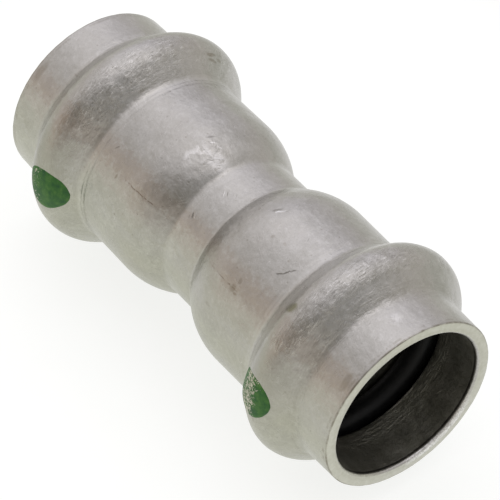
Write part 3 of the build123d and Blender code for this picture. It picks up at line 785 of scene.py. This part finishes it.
steel_mat = steel()
body.data.materials.append(steel_mat)
rubber_mat = rubber()
for o in (ring_a, ring_b):
    o.data.materials.append(rubber_mat)
dot_a.data.materials.append(paint("green_paint_near", 1.0, wear_near, 0.27))
dot_b.data.materials.append(paint("green_paint_far", 2.0, wear_far, 0.155))
# the CAD nodes that these pieces stand for carry the same finishes
for node, mat in (("fitting_body", steel_mat), ("sealing_ring_a", rubber_mat), ("sealing_ring_b", rubber_mat),
                  ("marker_dot_a", dot_a.data.materials[0]), ("marker_dot_b", dot_b.data.materials[0])):
    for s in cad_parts[node].material_slots:
        s.material = mat

# ---------------------------------------------------------------------------
# floor, light and camera
# ---------------------------------------------------------------------------
floor_z = -16.35 * MM
mesh = bpy.data.meshes.new("floor")
s = 3.0
mesh.from_pydata([(-s, -s, floor_z), (s, -s, floor_z), (s, s, floor_z), (-s, s, floor_z)], [], [(0, 1, 2, 3)])
floor = bpy.data.objects.new("floor", mesh)
bpy.context.scene.collection.objects.link(floor)
fmat, T, shader = new_material("pale_floor")
coord = T.vec("SCALE", T.n.new("ShaderNodeTexCoord").outputs["Object"], scale=1000.0)
# the floor glows, painted light: brightest in a patch under the part, which washes out its shadow, falling off a little
# unevenly round it and tinted towards a few azimuths
u = T.vec("DOT_PRODUCT", T.vec("SUBTRACT", coord, (-12.1, 9.0, 0.0)), (0.5962, 0.8028, 0.0))
v = T.vec("DOT_PRODUCT", T.vec("SUBTRACT", coord, (-12.1, 9.0, 0.0)), (-0.8028, 0.5962, 0.0))
reach = T.vec("LENGTH", T.xyz(T.math("DIVIDE", u, 50.0), T.math("DIVIDE", v, 62.0), 0.0))
patch = T.step(reach, 0.86, 1.75, 1.0, 0.0)
heading = T.vec("NORMALIZE", T.vec("MULTIPLY", coord, (1.0, 1.0, 0.0)))


def fan(T, heading, azimuth, kappa, colour):
    """A soft change of colour towards one azimuth."""
    az = math.radians(azimuth)
    d = T.vec("DOT_PRODUCT", heading, (math.cos(az), math.sin(az), 0.0))
    return T.vec("SCALE", colour, scale=T.math("EXPONENT", T.math("MULTIPLY_ADD", d, kappa, -kappa)))


far_glow = (0.520, 0.523, 0.450)
for az, colour in ((240, (0.19, 0.20, 0.16)), (170, (-0.06, -0.06, -0.05)), (75, (-0.10, -0.09, -0.07)), (0, (0.14, 0.14, 0.13))):
    far_glow = T.vec("ADD", far_glow, fan(T, heading, az, 2.5, colour))
glow = T.vec("ADD", T.vec("SCALE", (0.770, 0.775, 0.765), scale=patch), T.vec("SCALE", far_glow, scale=T.math("SUBTRACT", 1.0, patch)))
T.link(T.ramp(T.noise(T.vec("SCALE", coord, scale=0.02), 6.0, 2.0), [(0.3, (0.295, 0.30, 0.295)), (0.7, (0.305, 0.31, 0.305))]), shader.inputs["Base Color"])
shader.inputs["Roughness"].default_value = 0.9
shader.inputs["Specular IOR Level"].default_value = 0.0
T.link(glow, shader.inputs["Emission Color"])
shader.inputs["Emission Strength"].default_value = 1.0
floor.data.materials.append(fmat)

world = bpy.data.worlds.new("studio")
bpy.context.scene.world = world
world.use_nodes = True
world.node_tree.nodes.clear()
T = Tree(world.node_tree)
direction = T.vec("NORMALIZE", T.n.new("ShaderNodeTexCoord").outputs["Generated"])
_, _, up = T.split(direction)
# a white tent with soft lamps (positive) and unlit parts of the room (negative): azimuth, elevation, tightness, colour
rise = T.step(up, 0.10, 0.95)
sky = T.vec("ADD", (0.97, 0.925, 0.90), T.vec("SCALE", (-0.165, -0.133, -0.083), scale=rise))
LAMPS = [
    (-66, 52, 4.5, (-1.11, -1.09, -1.17)), (23, 58, 3.5, (-1.11, -1.05, -1.08)), (143, 26, 9.0, (2.35, 2.26, 2.42)),
    (52, 59, 10.8, (0.825, 0.775, 0.785)), (-120, 2, 19.9, (0.41, 0.50, 0.55)), (188, 4, 6.2, (-0.20, -0.195, -0.20)),
    (-118, 7, 16.5, (-0.305, -0.425, -0.535)), (-37, 75, 3.8, (1.52, 1.46, 1.54)), (129, 21, 10.5, (-1.05, -1.01, -1.035)),
    (149, 23, 13.1, (-1.59, -1.51, -1.565)), (88, 72, 42.0, (0.52, 0.50, 0.51)),
]
for azimuth, elevation, kappa, colour in LAMPS:
    az, el = math.radians(azimuth), math.radians(elevation)
    d = T.vec("DOT_PRODUCT", direction, (math.cos(el) * math.cos(az), math.cos(el) * math.sin(az), math.sin(el)))
    sky = T.vec("ADD", sky, T.vec("SCALE", colour, scale=T.math("EXPONENT", T.math("MULTIPLY_ADD", d, kappa, -kappa))))
sky = T.vec("MAXIMUM", sky, (0.05, 0.05, 0.05))
bg = T.n.new("ShaderNodeBackground")
T.link(sky, bg.inputs[0])
bg.inputs[1].default_value = 1.0
out = T.n.new("ShaderNodeOutputWorld")
T.l.new(bg.outputs[0], out.inputs[0])


def softbox(name, place, aim, size, watts, colour):
    light = bpy.data.lights.new(name, "AREA")
    light.shape = "DISK"
    light.size = size
    light.energy = watts
    light.color = colour
    obj = bpy.data.objects.new(name, light)
    obj.location = place
    obj.rotation_mode = "QUATERNION"
    obj.rotation_quaternion = (Vector(aim) - Vector(place)).to_track_quat("-Z", "Y")
    bpy.context.scene.collection.objects.link(obj)
    return obj


softbox("overhead_softbox", (-0.12, 0.10, 0.60), (0, 0, 0), 0.45, 0.030, (1.0, 0.98, 1.0))

right = Vector((0.5962, 0.8028, 0.0)).normalized()
back_v = Vector((0.5454, -0.4051, 0.7337)).normalized()
up_v = back_v.cross(right).normalized()
cam_data = bpy.data.cameras.new("camera")
cam_data.sensor_width = 36.0
cam_data.lens = 244.3
cam_data.clip_start, cam_data.clip_end = 0.01, 20.0
cam = bpy.data.objects.new("camera", cam_data)
bpy.context.scene.collection.objects.link(cam)
place = Vector((241.589, -178.245, 322.650)) * MM
cam_data.shift_x, cam_data.shift_y = -0.0012, 0.0010
cam.matrix_world = Matrix((
    (right.x, up_v.x, back_v.x, place.x),
    (right.y, up_v.y, back_v.y, place.y),
    (right.z, up_v.z, back_v.z, place.z),
    (0, 0, 0, 1)))
bpy.context.scene.camera = cam
bpy.context.scene.view_settings.view_transform = "Standard"
bpy.context.scene.view_settings.look = "None"
